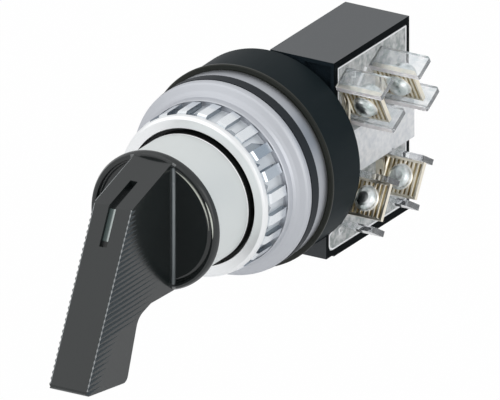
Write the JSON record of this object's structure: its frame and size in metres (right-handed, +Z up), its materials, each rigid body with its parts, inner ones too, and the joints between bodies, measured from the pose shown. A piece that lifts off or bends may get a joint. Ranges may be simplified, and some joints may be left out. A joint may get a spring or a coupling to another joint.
{
  "type": "lever selector switch",
  "caption": "Panel-mounted lever selector switch with a chrome ring nut and a side-wired contact block.",
  "frame": {"origin": "on the switch axis, in the plane of the panel's front face", "axes": "-Y towards the operator, +X to the right as seen from the front, +Z up; the lever points down at rest"},
  "size_m": [0.0467, 0.1079, 0.0481],
  "materials": {
    "lever_handle": "semi-gloss black moulded plastic",
    "pointer_inlay": "pale grey-green inlay",
    "chrome_collar": "bright chrome",
    "operator_shaft": "turned steel",
    "handle_screws": "zinc-plated steel",
    "detent_wheel": "natural acetal",
    "cam": "natural acetal",
    "cam_screw": "zinc-plated steel",
    "cam_washer": "zinc-plated steel",
    "ring_nut": "bright chrome",
    "front_flange": "satin chrome",
    "panel_gasket": "dark grey rubber",
    "spacer_ring": "satin metal",
    "seal_ring": "dark olive rubber",
    "threaded_neck": "plated die casting",
    "neck_seal": "black rubber",
    "shaft_bush": "sintered bronze",
    "body_housing": "black moulded plastic",
    "body_back_plate": "black moulded plastic",
    "body_screws": "zinc-plated steel",
    "detent_springs": "spring steel",
    "block_case": "black moulded plastic with a sheen",
    "block_cover": "clear moulded plastic",
    "block_screws": "zinc-plated steel",
    "terminal_upper_front": "plain brass",
    "terminal_upper_rear": "plain brass",
    "terminal_lower_front": "plain brass",
    "terminal_lower_rear": "plain brass",
    "terminal_screws": "nickel-plated steel",
    "clamp_washers": "nickel-plated steel",
    "terminal_nuts": "nickel-plated steel",
    "fixed_contacts": "silver alloy",
    "return_spring": "spring steel",
    "plunger": "natural acetal",
    "bridge_closed": "copper alloy",
    "bridge_open": "copper alloy",
    "bridge_contacts": "silver alloy",
    "contact_springs": "spring steel"
  },
  "bodies": {
    "body": {"ring_nut": "ring_nut", "front_flange": "front_flange", "panel_gasket": "panel_gasket", "spacer_ring": "spacer_ring", "seal_ring": "seal_ring", "threaded_neck": "threaded_neck", "neck_seal": "neck_seal", "shaft_bush": "shaft_bush", "body_housing": "body_housing", "body_back_plate": "body_back_plate", "body_screws": "body_screws", "detent_springs": "detent_springs", "block_case": "block_case", "block_cover": "block_cover", "block_screws": "block_screws", "terminal_upper_front": "terminal_upper_front", "terminal_upper_rear": "terminal_upper_rear", "terminal_lower_front": "terminal_lower_front", "terminal_lower_rear": "terminal_lower_rear", "terminal_screws": "terminal_screws", "clamp_washers": "clamp_washers", "terminal_nuts": "terminal_nuts", "fixed_contacts": "fixed_contacts", "return_spring": "return_spring"},
    "operator": {"lever_handle": "lever_handle", "pointer_inlay": "pointer_inlay", "chrome_collar": "chrome_collar", "operator_shaft": "operator_shaft", "handle_screws": "handle_screws", "detent_wheel": "detent_wheel", "cam": "cam", "cam_screw": "cam_screw", "cam_washer": "cam_washer"},
    "contact_plunger": {"plunger": "plunger", "bridge_closed": "bridge_closed", "bridge_open": "bridge_open", "bridge_contacts": "bridge_contacts", "contact_springs": "contact_springs"}
  },
  "joints": [
    {"name": "lever_turn", "type": "hinge", "parent": "body", "child": "operator", "pos_m": [0, 0, 0], "axis": [0, -1, 0], "range_deg": [0, 90], "deforming": ["detent_springs"]},
    {"name": "plunger_slide", "type": "slide", "parent": "body", "child": "contact_plunger", "axis": [0, 1, 0], "range_m": [0, 0.0025], "deforming": ["return_spring", "contact_springs"]}
  ],
  "couplings": [
    {"joint": "plunger_slide", "follows": "lever_turn", "m_per_rad": 0.0015915}
  ]
}
